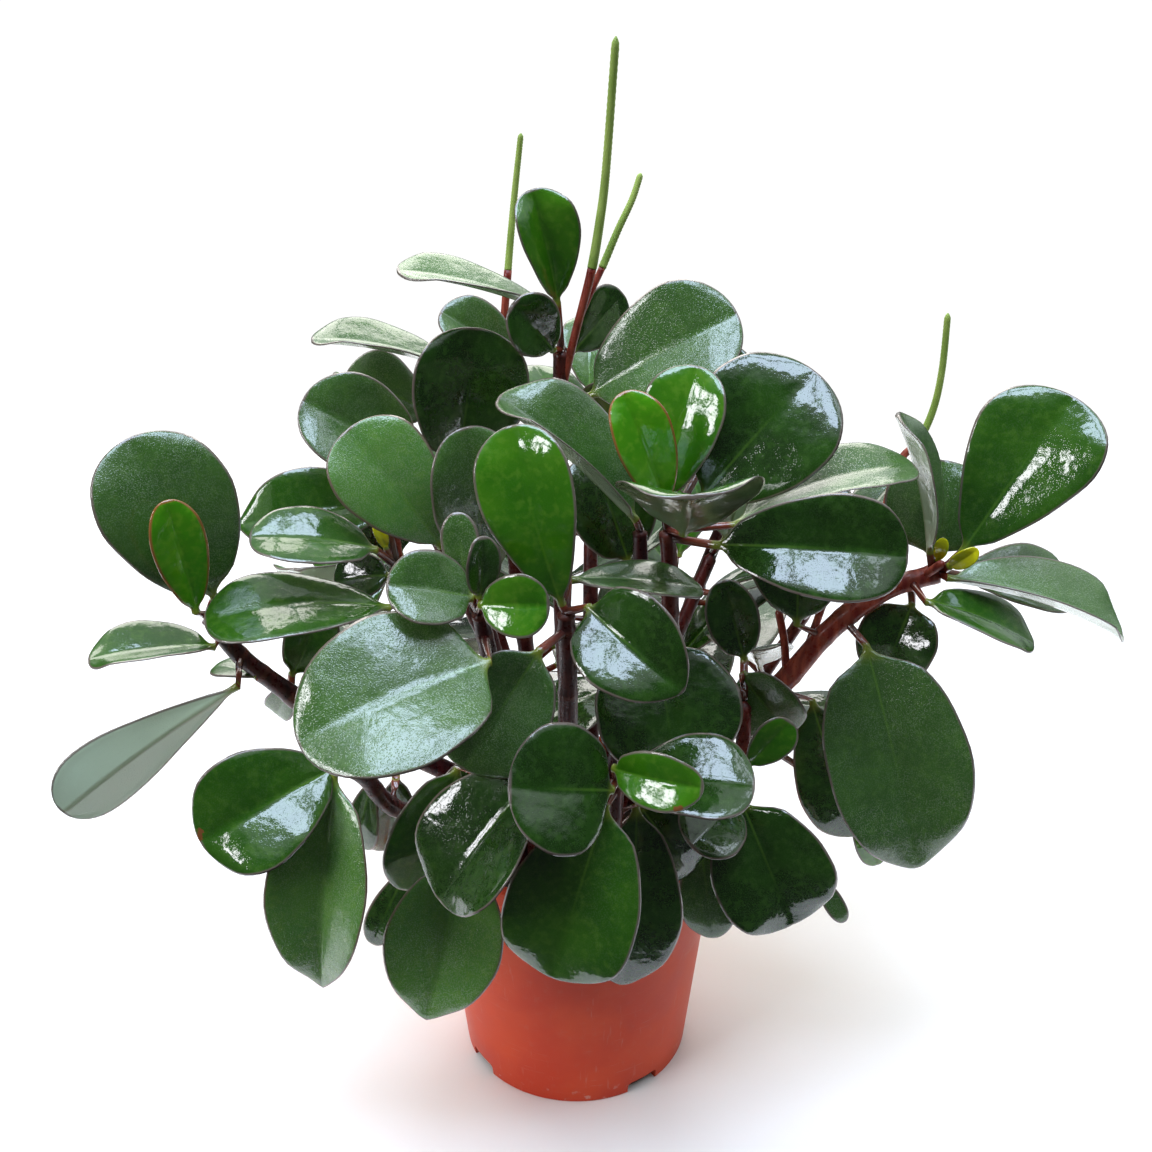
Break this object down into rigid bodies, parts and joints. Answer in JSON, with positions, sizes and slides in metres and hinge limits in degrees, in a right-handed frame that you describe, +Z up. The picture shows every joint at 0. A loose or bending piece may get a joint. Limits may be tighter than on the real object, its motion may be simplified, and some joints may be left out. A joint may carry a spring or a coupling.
{
  "type": "potted peperomia",
  "caption": "Bushy house plant with thick oval glossy leaves on fleshy red stems and thin green flower spikes, in a round tapered plastic nursery pot filled with soil.",
  "frame": {"origin": "middle of the pot's flat bottom, where the part stands", "axes": "+Z up along the pot's axis, -Y towards the seen front of the plant, +X to the right as seen from the front"},
  "size_m": [0.3572, 0.2826, 0.3829],
  "materials": {
    "pot_plastic": "satin terracotta-coloured plastic with fine scuffs",
    "soil": "dark crumbly peat mix",
    "leaves": "thick waxy glossy leaf, dark green with a thin reddish margin",
    "stems": "smooth fleshy dark red stem",
    "spikes": "finely pimpled yellow-green spike"
  },
  "bodies": {
    "root": {"pot": "pot_plastic", "soil": "soil", "stem_top": "leaves", "stem_upper_left": "leaves", "stem_left_front": "leaves", "stem_middle": "leaves", "stem_near_left": "leaves", "stem_centre_right": "leaves", "stem_centre": "leaves", "stem_right": "leaves", "stem_far_left": "leaves", "stem_left": "leaves", "stem_low_left": "leaves", "stem_low_front": "leaves", "stem_low_middle": "leaves", "stem_low_right": "leaves", "stem_back": "leaves", "stem_back_left": "leaves", "stem_back_right": "leaves", "stem_side_right": "leaves", "stem_side_left": "leaves", "stem_rear_left": "leaves", "stem_rear_right": "leaves", "stem_inner_left": "leaves", "stem_inner_right": "leaves", "spike_tall": "spikes", "spike_side": "spikes", "spike_back": "spikes", "spike_right": "spikes"}
  },
  "joints": []
}
